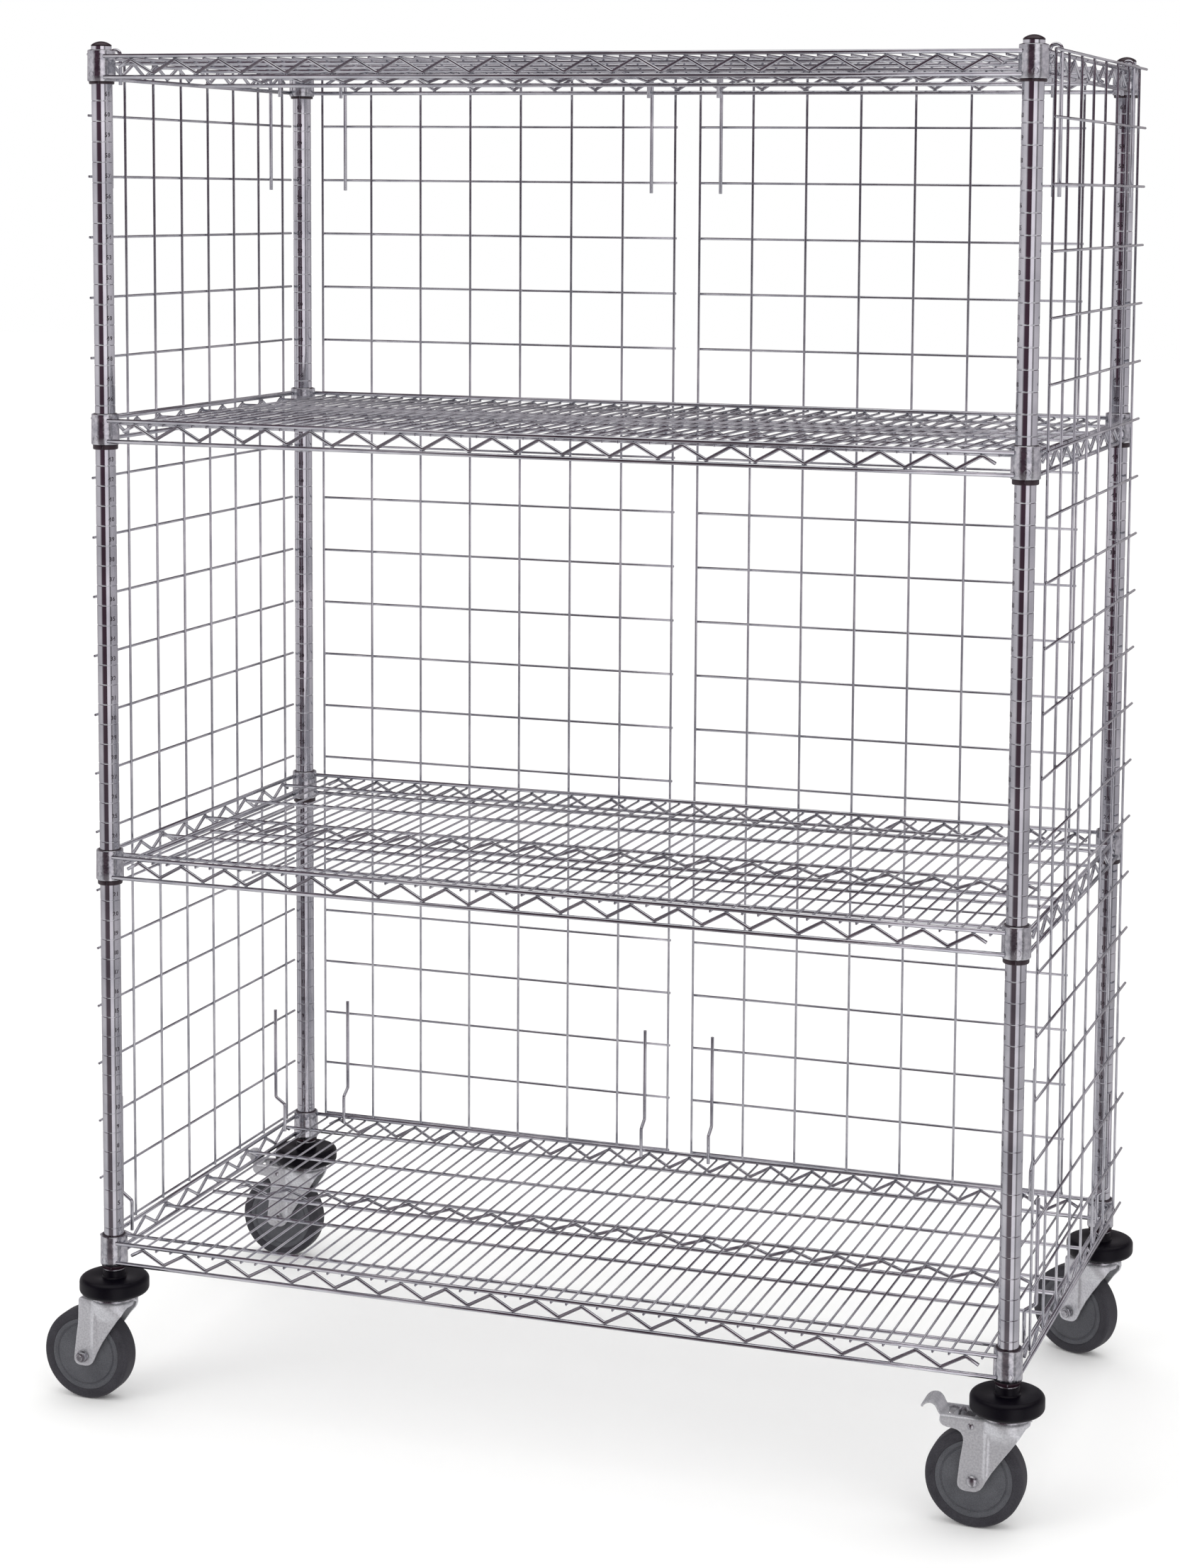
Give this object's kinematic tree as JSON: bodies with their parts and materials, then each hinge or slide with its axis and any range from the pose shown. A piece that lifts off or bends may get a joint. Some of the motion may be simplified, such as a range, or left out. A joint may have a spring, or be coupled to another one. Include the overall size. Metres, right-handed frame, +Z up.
{
  "type": "wire shelving enclosure cart",
  "caption": "Mobile wire shelving cart, open at the front, with hook-on mesh panels at the sides and back and swivel casters with round bumpers; two casters have pedal brakes.",
  "frame": {"origin": "on the floor under the middle of the four posts", "axes": "+X to the right seen from the open front, +Y from the open front to the back, +Z up along the posts"},
  "size_m": [1.3298, 0.665, 1.7536],
  "materials": {
    "chrome_tube": "bright chrome plate on rolled tube",
    "chrome_wire": "bright chrome plate on drawn wire",
    "cast_chrome": "chrome plate on a rough casting",
    "black_plastic": "satin",
    "zinc_steel": "bright zinc plate",
    "zinc_sheet": "satin zinc plate on pressed sheet",
    "black_rubber": "smooth moulded",
    "grey_plastic": "moulded",
    "grey_rubber": "moulded, slightly worn"
  },
  "bodies": {
    "cart": {"post_front_left": "chrome_tube", "post_front_right": "chrome_tube", "post_rear_left": "chrome_tube", "post_rear_right": "chrome_tube", "post_caps": "black_plastic", "bottom_shelf_collars": "cast_chrome", "bottom_shelf_rims": "chrome_wire", "bottom_shelf_deck": "chrome_wire", "bottom_shelf_sleeves": "black_plastic", "lower_shelf_collars": "cast_chrome", "lower_shelf_rims": "chrome_wire", "lower_shelf_deck": "chrome_wire", "lower_shelf_sleeves": "black_plastic", "upper_shelf_collars": "cast_chrome", "upper_shelf_rims": "chrome_wire", "upper_shelf_deck": "chrome_wire", "upper_shelf_sleeves": "black_plastic", "top_shelf_collars": "cast_chrome", "top_shelf_rims": "chrome_wire", "top_shelf_deck": "chrome_wire", "top_shelf_sleeves": "black_plastic", "stem_front_left": "zinc_steel", "stem_front_right": "zinc_steel", "stem_rear_left": "zinc_steel", "stem_rear_right": "zinc_steel", "bumper_front_left": "black_rubber", "bumper_front_right": "black_rubber", "bumper_rear_left": "black_rubber", "bumper_rear_right": "black_rubber"},
    "left_panel": {"left_panel_grid": "chrome_wire", "left_panel_hooks": "chrome_wire"},
    "right_panel": {"right_panel_grid": "chrome_wire", "right_panel_hooks": "chrome_wire"},
    "rear_left_panel": {"rear_left_panel_grid": "chrome_wire", "rear_left_panel_hooks": "chrome_wire"},
    "rear_right_panel": {"rear_right_panel_grid": "chrome_wire", "rear_right_panel_hooks": "chrome_wire"},
    "swivel_front_left": {"race_front_left": "zinc_steel", "fork_front_left": "zinc_sheet", "axle_front_left": "zinc_steel"},
    "roller_front_left": {"wheel_front_left": "grey_plastic", "tread_front_left": "grey_rubber"},
    "swivel_front_right": {"race_front_right": "zinc_steel", "fork_front_right": "zinc_sheet", "axle_front_right": "zinc_steel"},
    "roller_front_right": {"wheel_front_right": "grey_plastic", "tread_front_right": "grey_rubber"},
    "swivel_rear_left": {"race_rear_left": "zinc_steel", "fork_rear_left": "zinc_sheet", "axle_rear_left": "zinc_steel"},
    "roller_rear_left": {"wheel_rear_left": "grey_plastic", "tread_rear_left": "grey_rubber"},
    "swivel_rear_right": {"race_rear_right": "zinc_steel", "fork_rear_right": "zinc_sheet", "axle_rear_right": "zinc_steel"},
    "roller_rear_right": {"wheel_rear_right": "grey_plastic", "tread_rear_right": "grey_rubber"},
    "brake_front_right": {"pedal_front_right": "zinc_sheet"},
    "brake_rear_left": {"pedal_rear_left": "zinc_sheet"}
  },
  "joints": [
    {"name": "left_panel_lift", "type": "slide", "parent": "cart", "child": "left_panel", "axis": [0, 0, 1], "range_m": [0, 0.05]},
    {"name": "right_panel_lift", "type": "slide", "parent": "cart", "child": "right_panel", "axis": [0, 0, 1], "range_m": [0, 0.05]},
    {"name": "rear_left_panel_lift", "type": "slide", "parent": "cart", "child": "rear_left_panel", "axis": [0, 0, 1], "range_m": [0, 0.05]},
    {"name": "rear_right_panel_lift", "type": "slide", "parent": "cart", "child": "rear_right_panel", "axis": [0, 0, 1], "range_m": [0, 0.05]},
    {"name": "front_left_swivel", "type": "hinge", "parent": "cart", "child": "swivel_front_left", "pos_m": [-0.592, -0.2875, 0.14], "axis": [0, 0, 1], "continuous": true},
    {"name": "front_left_wheel_spin", "type": "hinge", "parent": "swivel_front_left", "child": "roller_front_left", "pos_m": [-0.628, -0.2875, 0.06], "axis": [0, 1, 0], "continuous": true},
    {"name": "front_right_swivel", "type": "hinge", "parent": "cart", "child": "swivel_front_right", "pos_m": [0.592, -0.2875, 0.14], "axis": [0, 0, 1], "continuous": true},
    {"name": "front_right_wheel_spin", "type": "hinge", "parent": "swivel_front_right", "child": "roller_front_right", "pos_m": [0.556, -0.2875, 0.06], "axis": [0, 1, 0], "continuous": true},
    {"name": "rear_left_swivel", "type": "hinge", "parent": "cart", "child": "swivel_rear_left", "pos_m": [-0.592, 0.2875, 0.14], "axis": [0, 0, 1], "continuous": true},
    {"name": "rear_left_wheel_spin", "type": "hinge", "parent": "swivel_rear_left", "child": "roller_rear_left", "pos_m": [-0.628, 0.2875, 0.06], "axis": [0, 1, 0], "continuous": true},
    {"name": "rear_right_swivel", "type": "hinge", "parent": "cart", "child": "swivel_rear_right", "pos_m": [0.592, 0.2875, 0.14], "axis": [0, 0, 1], "continuous": true},
    {"name": "rear_right_wheel_spin", "type": "hinge", "parent": "swivel_rear_right", "child": "roller_rear_right", "pos_m": [0.55817, 0.29981, 0.06], "axis": [0.342, 0.9397, 0], "continuous": true},
    {"name": "front_right_brake", "type": "hinge", "parent": "swivel_front_right", "child": "brake_front_right", "pos_m": [0.553, -0.2875, 0.127], "axis": [0, -1, 0], "range_deg": [0, 11.5]},
    {"name": "rear_left_brake", "type": "hinge", "parent": "swivel_rear_left", "child": "brake_rear_left", "pos_m": [-0.631, 0.2875, 0.127], "axis": [0, -1, 0], "range_deg": [0, 11.5]}
  ]
}
